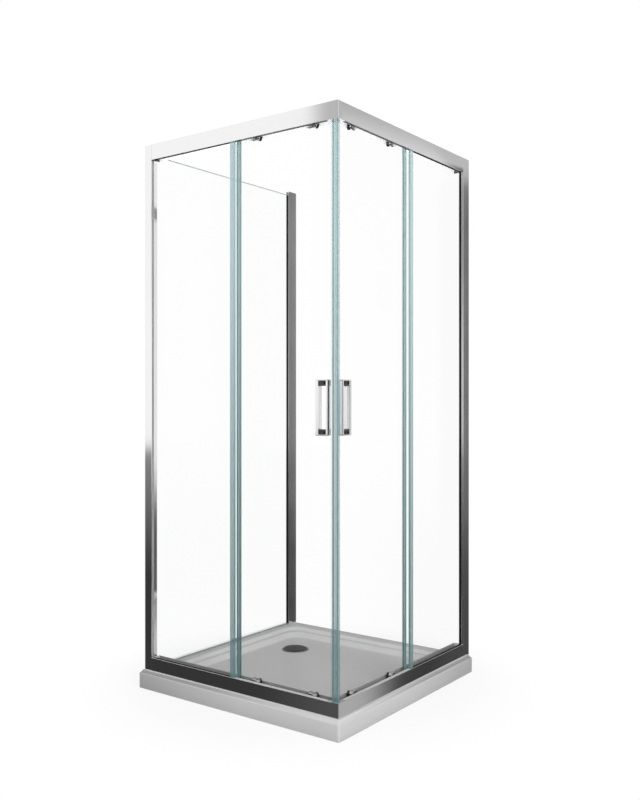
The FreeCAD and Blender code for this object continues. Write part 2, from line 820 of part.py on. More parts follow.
def save_door(side, pane_start, lay):
    """All pieces of one door, named after the side it is on."""
    door_end = pane_start + door_overlap
    rollers = (near_roller, far_roller)
    carriages = []
    clamp_plates = []
    clamp_bolts = []
    for roller in rollers:
        carriages.append(make_carriage(
            roller, top_axles(roller), top_bolt_height,
            top_bolt_height - bolt_margin, top_wheel_height + carriage_margin
        ))
        carriages.append(make_carriage(
            roller, [(roller, bottom_wheel_height)], bottom_bolt_height,
            bottom_wheel_height - carriage_margin, bottom_bolt_height + bolt_margin
        ))
        bolt_s = roller - bolt_offset
        clamp_plates.append(make_clamp_plate(bolt_s, top_bolt_height, top_seat_radius, top_arm()))
        clamp_plates.append(make_clamp_plate(bolt_s, bottom_bolt_height, bottom_seat_radius, bottom_arm()))
        clamp_bolts.append(make_clamp_bolt(bolt_s, top_bolt_height))
        clamp_bolts.append(make_clamp_bolt(bolt_s, bottom_bolt_height))
    save(side + "_door_glass", [make_door_glass(door_end)], lay)
    save(side + "_magnet_seal", [make_magnet_seal()], lay)
    save(side + "_trailing_seal", [make_trailing_seal(door_end)], lay)
    save(side + "_roller_carriages", carriages, lay)
    save(side + "_clamp_plates", clamp_plates, lay)
    save(side + "_clamp_bolts", clamp_bolts, lay)
    save(side + "_handle_outer", [make_handle_outer()], lay)
    save(side + "_handle_inner", [make_handle_inner()], lay)
    inlays = [make_outer_inlay(height, span) for height, span in zip(cross_bar_heights, pocket_spans)]
    inlays += [make_inner_inlay(height) for height in cross_bar_heights]
    save(side + "_handle_inlays", inlays, lay)
    save(side + "_handle_screws", [make_handle_screw(height) for height in cross_bar_heights], lay)
    axles = [axle for roller in rollers for axle in top_axles(roller)]
    for index, (place, height) in enumerate(axles, start=1):
        save("%s_top_wheel_%d" % (side, index), [make_wheel(place, height, top_groove_radius)], lay)
    for index, roller in enumerate(rollers, start=1):
        wheel = make_wheel(roller, bottom_wheel_height, bottom_groove_radius)
        save("%s_bottom_wheel_%d" % (side, index), [wheel], lay)


# ---------------------------------------------------------------- writing the pieces

os.makedirs("parts", exist_ok=True)

waste_body, waste_gasket, waste_locknut = make_waste()
save("shower_tray", [make_tray()])
save("waste_body", [waste_body])
save("waste_gasket", [waste_gasket])
save("waste_locknut", [waste_locknut])
save("waste_cover", [make_waste_cover()])

front_header = make_header(post_s0)
right_header = make_header(right_profile_s0)
front_sill = make_sill(post_s0)
right_sill = make_sill(right_profile_s0)
save("front_header", [front_header], to_front)
save("right_header", [right_header])
save("front_sill", [front_sill], to_front)
save("right_sill", [right_sill])
save("header_corner", [make_corner(header_bottom, overall_height, header_bottom, header_ceiling)])
save("sill_corner", [make_corner(tray_height, sill_top, sill_floor, sill_top)])
save("rail_end_caps", [
    to_front(make_end_caps(front_header, post_s0, header_bottom, header_ceiling)),
    to_front(make_end_caps(front_sill, post_s0, sill_floor, sill_top)),
    make_end_caps(right_header, right_profile_s0, header_bottom, header_ceiling),
    make_end_caps(right_sill, right_profile_s0, sill_floor, sill_top),
])

front_pane = block(front_pane_start, front_pane_end, pane_v0, pane_v1, pane_bottom, pane_top)
right_pane = block(right_pane_start, right_pane_end, pane_v0, pane_v1, pane_bottom, pane_top)
side_pane = block(side_pane_start, side_pane_end, pane_v0, pane_v1, side_pane_bottom, side_pane_top)
save("front_fixed_glass", [front_pane], to_front)
save("right_fixed_glass", [right_pane])
save("side_glass", [side_pane], to_left)

post_gasket = block(
    post_s0, front_pane_end + slot_gasket, pane_v0 - slot_gasket, pane_v1 + slot_gasket,
    pane_bottom, pane_top
)
front_gasket = join(make_rail_gaskets(front_pane_start, post_s0) + [post_gasket]).cut(front_pane)
save("front_glass_gasket", [front_gasket], to_front)
frame_gasket = block(
    frame_s0, right_pane_end + slot_gasket, channel_v0 + frame_wall, channel_v1 - frame_wall,
    pane_bottom, pane_top
)
right_gasket = join(make_rail_gaskets(right_pane_start, frame_s0) + [frame_gasket]).cut(right_pane)
save("right_glass_gasket", [right_gasket])
side_gaskets = [
    block(
        side_pane_start - slot_gasket, post_v1,
        pane_v0 - slot_gasket, pane_v1 + slot_gasket, side_pane_bottom, side_pane_top
    ),
    block(
        left_profile_s0, left_profile_s0 + side_gasket_grip,
        channel_v0, channel_v1, side_pane_bottom, side_pane_top
    ),
]
save("side_glass_gasket", [gasket.cut(side_pane) for gasket in side_gaskets], to_left)
bottom_seal = block(
    post_v1, left_profile_s0, pane_v0 - seal_wall, pane_v1 + seal_wall,
    tray_height, tray_height + side_seal_height
)
save("side_bottom_seal", [bottom_seal.cut(side_pane)], to_left)
save("front_overlap_seal", [make_overlap_seal(front_pane_start)], to_front)
save("right_overlap_seal", [make_overlap_seal(right_pane_start)])

save("corner_post", [make_post()], to_front)
save("left_wall_profile", [make_wall_profile(left_profile_s0, left_profile_top)], to_left)
right_wall_profile = make_wall_profile(right_profile_s0, overall_height)
for screw_height in frame_screw_heights:
    screw_hole = bar(frame_screw_place(), screw_height, channel_v1, track_v0, frame_screw_radius)
    right_wall_profile = right_wall_profile.cut(screw_hole)
save("right_wall_profile", [right_wall_profile])
save("right_frame_profile", [make_frame_profile()])
save("frame_screws", [make_frame_screw(height) for height in frame_screw_heights])

filler_start = corner_end + corner_leg
save(
    "channel_fillers",
    [to_front(strip) for strip in make_fillers(filler_start, front_pane_start)]
    + make_fillers(filler_start, right_pane_start),
)
save(
    "door_stops",
    [to_front(stop) for stop in make_stops(front_pane_start)] + make_stops(right_pane_start),
)

save_door("front", front_pane_start, to_front)
save_door("right", right_pane_start, as_drawn)
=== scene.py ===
"""Corner shower enclosure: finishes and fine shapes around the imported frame."""
import math

import bmesh
import bpy
import numpy as np
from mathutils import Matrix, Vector


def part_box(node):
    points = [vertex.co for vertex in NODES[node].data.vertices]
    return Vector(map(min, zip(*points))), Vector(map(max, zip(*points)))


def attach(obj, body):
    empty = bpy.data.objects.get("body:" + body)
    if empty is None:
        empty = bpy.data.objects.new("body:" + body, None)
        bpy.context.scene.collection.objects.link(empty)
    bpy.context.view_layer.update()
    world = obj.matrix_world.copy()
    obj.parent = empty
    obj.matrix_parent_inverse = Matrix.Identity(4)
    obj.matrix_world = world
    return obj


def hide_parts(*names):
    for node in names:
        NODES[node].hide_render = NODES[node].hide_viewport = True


bl_info = {
    "name": "Corner shower enclosure",
    "version": (1, 0, 0),
    "blender": (4, 5, 0),
    "location": "View3D > Sidebar > Shower",
    "description": "Builds the fine shapes, the finishes and the studio for a corner shower enclosure",
    "category": "Add Mesh",
}

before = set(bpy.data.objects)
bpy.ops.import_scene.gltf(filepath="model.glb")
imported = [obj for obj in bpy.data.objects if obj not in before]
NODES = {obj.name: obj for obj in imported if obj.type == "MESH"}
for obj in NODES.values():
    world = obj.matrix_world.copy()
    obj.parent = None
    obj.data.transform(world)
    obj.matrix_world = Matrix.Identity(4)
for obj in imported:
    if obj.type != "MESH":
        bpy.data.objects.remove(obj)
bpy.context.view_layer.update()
MM = 0.001
HALF = 450.0

# Where a finish changes: (start, end) of each change, in metres.
LIP_START = (0.0262, 0.0264)    # depth v at the back of the fixed pane
LIP_END = (0.0366, 0.0369)      # depth v before the door's seals
DOOR_SHARE = (0.2, 0.21)        # along the face, past the magnet seals
ARM_START = (0.0512, 0.0520)    # along the face, at the door pane's edge
# RAIL_SKIN and LEDGE_START bound the painted shade on the tray's skin and ledge.
RAIL_SKIN = (0.438, 0.441)      # x or -y of the tray, outside the rails
LEDGE_START = (0.0555, 0.0565)  # height of the tray's ledge
CLEAR_TAIL = 6.5                # clear end of a trailing seal, in mm


# ---------------------------------------------------------------- sizes and colours

class ShowerShape(bpy.types.PropertyGroup):
    """Fine shape of the pieces, over what the frame already gives."""
    edge_round: bpy.props.FloatProperty(
        name="Profile edge round", description="Radius on the long edges of the aluminium profiles, in mm",
        default=0.6, min=0.1, max=0.65)
    handle_round: bpy.props.FloatProperty(
        name="Handle edge round", description="Radius on the face edges of the handles, in mm",
        default=1.4, min=0.2, max=2.4)
    cover_dome: bpy.props.FloatProperty(
        name="Waste cover dome", description="How far the middle of the waste cover rises, in mm",
        default=0.9, min=0.0, max=2.0)
    ring_steps: bpy.props.IntProperty(
        name="Round steps", description="Points around each round piece", default=72, min=24, max=160)


class ShowerColours(bpy.types.PropertyGroup):
    """Colours of the finishes, as linear light."""
    tray: bpy.props.FloatVectorProperty(
        name="Tray acrylic", description="Glossy sanitary acrylic", subtype="COLOR", size=3,
        default=(0.62, 0.62, 0.62))
    profile: bpy.props.FloatVectorProperty(
        name="Profiles", description="Bright anodised aluminium", subtype="COLOR", size=3,
        default=(0.97, 0.97, 0.975))
    # The track colour is also the colour of the headers' painted glow.
    track: bpy.props.FloatVectorProperty(
        name="Roller tracks", description="Pale matt anodised inside of the rails", subtype="COLOR", size=3,
        default=(0.97, 0.97, 0.97))
    chrome: bpy.props.FloatVectorProperty(
        name="Chrome", description="Handles, caps and corner connectors", subtype="COLOR", size=3,
        default=(0.96, 0.96, 0.965))
    # The seals blend from the low colour to the high one with height: painted shade near the floor, painted light
    # near the header.
    seal_low: bpy.props.FloatVectorProperty(
        name="Seals, low", description="Clear soft plastic near the floor", subtype="COLOR", size=3,
        default=(0.17, 0.30, 0.315))
    seal_high: bpy.props.FloatVectorProperty(
        name="Seals, high", description="Clear soft plastic near the header", subtype="COLOR", size=3,
        default=(0.45, 0.64, 0.655))
    glass_edge: bpy.props.FloatVectorProperty(
        name="Glass edge", description="Ground edge of the panes", subtype="COLOR", size=3,
        default=(0.38, 0.58, 0.58))
    # The dark colour is also the painted shade on the end caps, door stops and channel fillers at the headers.
    dark: bpy.props.FloatVectorProperty(
        name="Dark plastic", description="Roller carriages, strips and stops", subtype="COLOR", size=3,
        default=(0.035, 0.035, 0.038))
    inlay: bpy.props.FloatVectorProperty(
        name="Handle inlays", description="Dark chrome plates and bosses in the handles", subtype="COLOR", size=3,
        default=(0.10, 0.10, 0.105))
    cover: bpy.props.FloatVectorProperty(
        name="Waste cover", description="Dark satin waste cover", subtype="COLOR", size=3,
        default=(0.16, 0.16, 0.165))


# ---------------------------------------------------------------- faces of the enclosure

def lay_right(s, v, z):
    """Face coordinates in mm to metres on the right face: s along it, v inward, z up."""
    return np.stack(np.broadcast_arrays(HALF - v, s - HALF, z), axis=-1) * MM


def lay_front(s, v, z):
    """The front face is the right face's mirror image across the diagonal x = -y."""
    return np.stack(np.broadcast_arrays(HALF - s, v - HALF, z), axis=-1) * MM


def lay_left(s, v, z):
    """The left face is the right face's mirror image across x = 0."""
    return np.stack(np.broadcast_arrays(v - HALF, s - HALF, z), axis=-1) * MM


SIDES = {"front": lay_front, "right": lay_right}


def face_box(node, lay):
    """Lowest and highest s, v and z of a node in mm, in the coordinates of its face."""
    low, high = (np.array(corner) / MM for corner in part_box(node))
    if lay is lay_right:
        return np.array([low[1] + HALF, HALF - high[0], low[2]]), np.array([high[1] + HALF, HALF - low[0], high[2]])
    if lay is lay_front:
        return np.array([HALF - high[0], low[1] + HALF, low[2]]), np.array([HALF - low[0], high[1] + HALF, high[2]])
    return np.array([low[1] + HALF, low[0] + HALF, low[2]]), np.array([high[1] + HALF, high[0] + HALF, high[2]])


# ---------------------------------------------------------------- surfaces

def grid_faces(rows, columns, wrap_rows, wrap_columns, first=0):
    """Quads between neighbouring points of a grid of rows by columns."""
    i = np.arange(rows if wrap_rows else rows - 1)[:, None]
    j = np.arange(columns if wrap_columns else columns - 1)[None, :]
    a = i * columns + j
    b = i * columns + (j + 1) % columns
    c = ((i + 1) % rows) * columns + (j + 1) % columns
    d = ((i + 1) % rows) * columns + j
    return (np.stack([a, b, c, d], axis=-1).reshape(-1, 4) + first).tolist()


def add_piece(name, parts, body, sharp=35.0, replaces=()):
    """One object from (points, faces) parts; doubles merged, faces turned outward, soft below the sharp angle."""
    vertices = np.concatenate([points.reshape(-1, 3) for points, _ in parts])
    faces = []
    start = 0
    for points, part_faces in parts:
        faces.extend([[index + start for index in face] for face in part_faces])
        start += points.reshape(-1, 3).shape[0]
    mesh = bpy.data.meshes.new(name)
    mesh.from_pydata(vertices.tolist(), [], faces)
    tidy_mesh(mesh)
    mesh.polygons.foreach_set("use_smooth", np.ones(len(mesh.polygons), dtype=bool))
    mesh.set_sharp_from_angle(angle=math.radians(sharp))
    piece = bpy.data.objects.new(name, mesh)
    bpy.context.scene.collection.objects.link(piece)
    if body:
        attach(piece, body)
    if replaces:
        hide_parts(*replaces)
    return piece


def tidy_mesh(mesh):
    """Merge points that lie on each other, such as poles, and turn every face outward."""
    work = bmesh.new()
    work.from_mesh(mesh)
    bmesh.ops.remove_doubles(work, verts=work.verts, dist=1e-6)
    bmesh.ops.dissolve_degenerate(work, edges=work.edges, dist=1e-7)
    bmesh.ops.recalc_face_normals(work, faces=work.faces)
    work.to_mesh(mesh)
    work.free()
    mesh.update()


def rounded_outline(corners, radius, steps=5):
    """Closed outline of a right-angled polygon with each corner c replaced by a quarter circle:
    c + r(a + b) - r(b cos f + a sin f), where a and b point to the neighbours and f runs from 0 to 90 degrees.
    One more point stands on the straight beside each end of the arc, so that the wide faces shade flat."""
    c = np.array(corners, dtype=float)
    to_last = np.roll(c, 1, axis=0) - c
    to_next = np.roll(c, -1, axis=0) - c
    room = np.minimum(np.linalg.norm(to_last, axis=1), np.linalg.norm(to_next, axis=1)) * 0.45
    r = np.minimum(radius, room)[:, None, None]
    a = (to_last / np.linalg.norm(to_last, axis=1, keepdims=True))[:, None, :]
    b = (to_next / np.linalg.norm(to_next, axis=1, keepdims=True))[:, None, :]
    f = np.linspace(0.0, math.pi / 2, steps)[None, :, None]
    arc = c[:, None, :] + r * (a + b) - r * (b * np.cos(f) + a * np.sin(f))
    before = c[:, None, :] + 1.1 * r * a
    after = c[:, None, :] + 1.1 * r * b
    return np.concatenate([before, arc, after], axis=1).reshape(-1, 2)


def carried(outline_points, capped=True):
    """Faces for an outline carried along a path: rows are stations, columns go round the outline."""
    rows, columns = outline_points.shape[:2]
    faces = grid_faces(rows, columns, False, True)
    if capped:
        faces.append(list(range(columns)))
        faces.append([(rows - 1) * columns + index for index in range(columns)][::-1])
    return faces


def rail_part(outline, start, end, lay):
    """A rail: its (v, z) outline carried along s from start, which may be a mitre s = v, to end."""
    v, z = outline[:, 0], outline[:, 1]
    begin = v if start is None else np.full_like(v, start)
    along = np.stack([begin, begin + (end - begin) * 0.5, np.full_like(v, end)])
    points = lay(along, v[None, :], z[None, :])
    return points, carried(points)


def upright_part(outline, z0, z1, lay):
    """An upright: its (s, v) outline carried along z."""
    z = np.array([z0, (z0 + z1) / 2, z1])[:, None]
    points = lay(outline[None, :, 0], outline[None, :, 1], z)
    return points, carried(points)


def square_ring(s0, s1, z0, z1, radius, corner_steps=6):
    """Rounded rectangle in the plane of a face, as (s, z) points in step with every other such ring."""
    corners = [(s1, z0), (s1, z1), (s0, z1), (s0, z0)]
    return rounded_outline(corners, radius, corner_steps)


def spun(profile, place, height, steps, lay):
    """Surface of revolution about the v direction: (radius, v) profile turned round the point (place, height)."""
    turn = np.linspace(0.0, 2 * math.pi, steps, endpoint=False)[None, :]
    radius, v = profile[:, 0][:, None], profile[:, 1][:, None]
    return lay(place + radius * np.cos(turn), v + 0 * turn, height + radius * np.sin(turn))


# ---------------------------------------------------------------- shader kit

class Value:
    """A socket of a node tree. Sums and products of values add the Math nodes that work them out."""

    def __init__(self, tree, socket):
        self.tree = tree
        self.socket = socket

    def maths(self, operation, *others):
        return self.tree.node("ShaderNodeMath", {"operation": operation}, [self, *others])

    def __add__(self, other):
        return self.maths("ADD", other)

    def __radd__(self, other):
        return self.tree.node("ShaderNodeMath", {"operation": "ADD"}, [other, self])

    def __sub__(self, other):
        return self.maths("SUBTRACT", other)

    def __rsub__(self, other):
        return self.tree.node("ShaderNodeMath", {"operation": "SUBTRACT"}, [other, self])

    def __mul__(self, other):
        return self.maths("MULTIPLY", other)

    def __rmul__(self, other):
        return self.tree.node("ShaderNodeMath", {"operation": "MULTIPLY"}, [other, self])

    def __truediv__(self, other):
        return self.maths("DIVIDE", other)

    def __abs__(self):
        return self.maths("ABSOLUTE")


class Finish:
    """A material or world node tree, with one method that makes any node."""

    def __init__(self, owner):
        owner.use_nodes = True
        self.tree = owner.node_tree
        self.tree.nodes.clear()

    def node(self, kind, settings=None, inputs=None, output=0):
        made = self.tree.nodes.new(kind)
        for key, setting in (settings or {}).items():
            if key == "stops":
                self.set_stops(made.color_ramp, setting)
            else:
                setattr(made, key, setting)
        pairs = inputs.items() if isinstance(inputs, dict) else enumerate(inputs or [])
        for key, given in pairs:
            if isinstance(given, Value):
                self.tree.links.new(given.socket, made.inputs[key])
            else:
                made.inputs[key].default_value = given
        return Value(self, made.outputs[output])

    @staticmethod
    def set_stops(ramp, stops):
        while len(ramp.elements) < len(stops):
            ramp.elements.new(1.0)
        for element, (place, colour) in zip(ramp.elements, stops):
            element.position = place
            element.color = colour

    def place(self):
        """Object coordinates, as x, y and z values in metres."""
        spot = self.node("ShaderNodeTexCoord", output="Object")
        return spot, [self.node("ShaderNodeSeparateXYZ", None, [spot], axis) for axis in range(3)]

    def grain(self, spot, scale, detail=3.0, stretch=(1.0, 1.0, 1.0)):
        """Noise between 0 and 1, stretched along the axes where stretch is small."""
        moved = self.node("ShaderNodeMapping", None, {"Vector": spot, "Scale": stretch})
        return self.node("ShaderNodeTexNoise", None, {"Vector": moved, "Scale": scale, "Detail": detail}, "Fac")

    def step(self, value, low, high, start=0.0, end=1.0):
        """Smooth change from start to end while value goes from low to high."""
        return self.node(
            "ShaderNodeMapRange", {"interpolation_type": "SMOOTHSTEP"},
            {"Value": value, "From Min": low, "From Max": high, "To Min": start, "To Max": end})

    def blend(self, factor, first, second):
        """Colour between first and second."""
        inputs = {0: factor, 6: first if isinstance(first, Value) else tuple(first) + (1.0,),
                  7: second if isinstance(second, Value) else tuple(second) + (1.0,)}
        return self.node("ShaderNodeMix", {"data_type": "RGBA"}, inputs, 2)

    def bump(self, height, strength, distance):
        return self.node(
            "ShaderNodeBump", None, {"Height": height, "Strength": strength, "Distance": distance}, "Normal")

    def output(self, surface):
        kind = "ShaderNodeOutputWorld" if any(n.type == "BACKGROUND" for n in self.tree.nodes) else None
        made = self.tree.nodes.new(kind or "ShaderNodeOutputMaterial")
        self.tree.links.new(surface.socket, made.inputs["Surface"])


def new_finish(name):
    material = bpy.data.materials.new(name)
    return material, Finish(material)


def metal_finish(name, colour, roughness, grain_axis, crown_height=None):
    """Bright metal: fine draw lines along grain_axis and slightly uneven gloss. A face with a crown height
    shades as if it bulged by 0.5 (z - crown height)^2, all in metres."""
    material, finish = new_finish(name)
    spot, (x, y, z) = finish.place()
    stretch = [60.0, 60.0, 60.0]
    stretch["XYZ".index(grain_axis)] = 0.6
    lines = finish.grain(spot, 22.0, 4.0, tuple(stretch))
    cloud = finish.grain(spot, 9.0, 2.0)
    tone = finish.step(lines, 0.25, 0.75, 0.94, 1.0)
    base = finish.blend(tone, [0.0, 0.0, 0.0], colour)
    height = lines * 0.000002
    if crown_height is not None:
        off = z - crown_height * MM
        height = height - off * off * 0.5
    rough = roughness * (0.85 + 0.3 * cloud)
    surface = finish.node("ShaderNodeBsdfPrincipled", None, {
        "Base Color": base, "Metallic": 1.0, "Roughness": rough,
        "Normal": finish.bump(height, 1.0, 1.0)})
    finish.output(surface)
    return material


def plastic_finish(name, colour, roughness, speckle=120.0, dent=0.12, far_colour=None, turn=("z", 0.9, 1.1)):
    """Moulded plastic or rubber: a little colour unevenness and a fine pebbled skin. Past the turn along an axis
    the colour may be another, which paints light or shade by position."""
    material, finish = new_finish(name)
    spot, (x, y, z) = finish.place()
    fine = finish.grain(spot, speckle * 10, 3.0)
    cloud = finish.grain(spot, 6.0, 2.0)
    if far_colour is not None:
        past = finish.step({"x": x, "y": y, "z": z}[turn[0]], turn[1], turn[2])
        colour = finish.blend(past, colour, far_colour)
    base = finish.blend(finish.step(cloud, 0.3, 0.7, 0.9, 1.0), [0.0, 0.0, 0.0], colour)
    surface = finish.node("ShaderNodeBsdfPrincipled", None, {
        "Base Color": base, "Roughness": roughness * (0.85 + 0.3 * fine),
        "Normal": finish.bump(fine, dent, 0.0003)})
    finish.output(surface)
    return material


def track_painted_glow_finish(name, low_colour, high_colour):
    """Matt anodised inside of the rails, with painted light and shade: grey at the sills and pale at the headers by
    height, and the headers' inside glows as painted light. The back and top skins of a header, and the back of a
    sill, are bright metal."""
    material, finish = new_finish(name)
    spot, (x, y, z) = finish.place()
    fine = finish.grain(spot, 2000.0, 3.0)
    cloud = finish.grain(spot, 6.0, 2.0)
    # Painted light and shade: the inside goes from grey at the sills to pale at the headers.
    high = finish.step(z, 0.9, 1.1)
    depth = (y + HALF * MM).maths("MINIMUM", HALF * MM - x)
    back, top = face_box("right_header", lay_right)[1][1:] * MM
    skin = finish.step(depth, back - 0.0006, back - 0.0002)
    skin = skin.maths("MAXIMUM", finish.step(z, top - 0.0008, top - 0.0004))
    matt = finish.blend(high, low_colour, high_colour)
    matt = finish.blend(finish.step(cloud, 0.3, 0.7, 0.9, 1.0), [0.0, 0.0, 0.0], matt)
    surface = finish.node("ShaderNodeBsdfPrincipled", None, {
        "Base Color": finish.blend(skin, matt, [0.8, 0.8, 0.8]), "Metallic": skin,
        "Roughness": 0.4 * (0.85 + 0.3 * fine) - 0.2 * skin,
        # Painted light: the pale inside of the headers glows, though it is no lamp.
        "Emission Color": finish.blend(high * (1.0 - skin), [0.0, 0.0, 0.0], matt), "Emission Strength": 0.55,
        "Normal": finish.bump(fine, 0.03, 0.0003)})
    finish.output(surface)
    return material


def clear_finish(node, side, low_tint, high_tint, clearness):
    """Clear soft plastic: tinted where it wraps a pane, and nearly invisible in the thin walls and lips between the
    two panes' depths and in the clear tail at a door's trailing end. The tint changes with height, darker near the
    floor as painted shade and paler near the header as painted light."""
    material, finish = new_finish(node + "_clear")
    spot, (x, y, z) = finish.place()
    lines = finish.grain(spot, 40.0, 3.0, (30.0, 30.0, 0.3))
    # Painted shade and light: darker near the floor, paler near the header.
    tint_and_painted_shade = finish.blend(finish.step(z, 0.1, 1.9), low_tint, high_tint)
    base = finish.blend(finish.step(lines, 0.3, 0.7, 0.85, 1.0), [0.0, 0.0, 0.0], tint_and_painted_shade)
    body = finish.node("ShaderNodeBsdfPrincipled", None, {
        "Base Color": base, "Roughness": 0.3 * (0.8 + 0.4 * lines),
        "Normal": finish.bump(lines, 0.1, 0.0003)})
    through = finish.node("ShaderNodeBsdfTransparent", None, {"Color": (0.992, 0.998, 0.998, 1.0)})
    depth = {"front": y + HALF * MM, "right": HALF * MM - x, "left": x + HALF * MM}[side]
    along = {"front": HALF * MM - x, "right": y + HALF * MM, "left": y + HALF * MM}[side]
    lay = {"front": lay_front, "right": lay_right, "left": lay_left}[side]
    tail = (face_box(node, lay)[1][0] - CLEAR_TAIL) * MM
    past_tail = finish.step(depth, *LIP_END) * finish.step(along, tail - 0.0002, tail + 0.0002)
    lip = finish.step(depth, *LIP_START) * finish.step(depth, *LIP_END, 1.0, 0.0)
    lip = lip.maths("MAXIMUM", past_tail) * finish.step(along, *DOOR_SHARE)
    arm = finish.step(along, *ARM_START) * finish.step(along, *DOOR_SHARE, 1.0, 0.0)
    see = clearness * (0.9 + 0.2 * lines)
    see = see.maths("MAXIMUM", lip * 0.995).maths("MAXIMUM", arm * 0.93)
    finish.output(finish.node("ShaderNodeMixShader", None, [see, body, through]))
    return material


def pane_finish(name, node, along, edge_colour):
    """Toughened glass pane: clear faces with a weak mirror sheen, and a deep tinted ground edge.
    A point counts as edge within 1.5 mm of the pane's ends along the face and along z."""
    material, finish = new_finish(name)
    spot, axes = finish.place()
    low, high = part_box(node)
    number = "xyz".index(along)
    ends = []
    for axis in (number, 2):
        middle = (low[axis] + high[axis]) / 2
        reach = (high[axis] - low[axis]) / 2
        ends.append(finish.step(abs(axes[axis] - middle), reach - 0.0016, reach - 0.0012))
    edge = ends[0].maths("MAXIMUM", ends[1])
    wave = finish.grain(spot, 1.6, 1.0)
    sheen = finish.node("ShaderNodeBsdfGlossy", None, {
        "Roughness": 0.02, "Normal": finish.bump(wave, 0.02, 0.002)})
    through = finish.node("ShaderNodeBsdfTransparent", None, {"Color": (0.997, 0.999, 0.998, 1.0)})
    facing = finish.node("ShaderNodeLayerWeight", None, {"Blend": 0.5}, "Facing")
    gloss = facing.maths("POWER", 5.0) * 0.4 + 0.006
    clear = finish.node("ShaderNodeMixShader", None, [gloss, through, sheen])
    ground = finish.node("ShaderNodeBsdfPrincipled", None, {
        "Base Color": finish.blend(finish.step(wave, 0.2, 0.8), edge_colour, [c * 1.3 for c in edge_colour]),
        "Roughness": 0.25 + 0.1 * wave})
    finish.output(finish.node("ShaderNodeMixShader", None, [edge * 0.9, clear, ground]))
    return material


def acrylic_finish(name, colour):
    """Glossy sanitary acrylic: near-white, with a faint cloud and a soft ripple under the gloss. The skin outside
    the two rails, and most of all its narrow ledge, gets darker with the way from the door corner as painted shade."""
    material, finish = new_finish(name)
    spot, (x, y, z) = finish.place()
    cloud = finish.grain(spot, 5.0, 3.0)
    fine = finish.grain(spot, 160.0, 2.0)
    base = finish.blend(finish.step(cloud, 0.3, 0.7, 0.0, 1.0), [c * 0.985 for c in colour], colour)
    way = 0.9 - x + y
    skin = finish.step(x.maths("MAXIMUM", 0.0 - y), *RAIL_SKIN)
    ledge = finish.step(z, *LEDGE_START)
    # Painted shade: darker with the way from the door corner, most of all on the ledge.
    painted_shade = finish.step(way, 0.35, 1.0, 0.0, 0.26).maths("MAXIMUM", ledge * finish.step(way, 0.05, 0.7, 0.0, 0.5))
    base = finish.blend(skin * painted_shade, base, [0.0, 0.0, 0.0])
    surface = finish.node("ShaderNodeBsdfPrincipled", None, {
        "Base Color": base, "Roughness": 0.22 + 0.08 * fine, "Coat Weight": 0.15 + 0.1 * cloud,
        "Normal": finish.bump(fine, 0.02, 0.0005)})
    finish.output(surface)
    return material


def paint(target, material):
    """Put a material on every slot of an object, or on its only slot."""
    slots = target.data.materials
    if len(slots) == 0:
        slots.append(material)
    for index in range(len(slots)):
        slots[index] = material


# ---------------------------------------------------------------- tray and waste

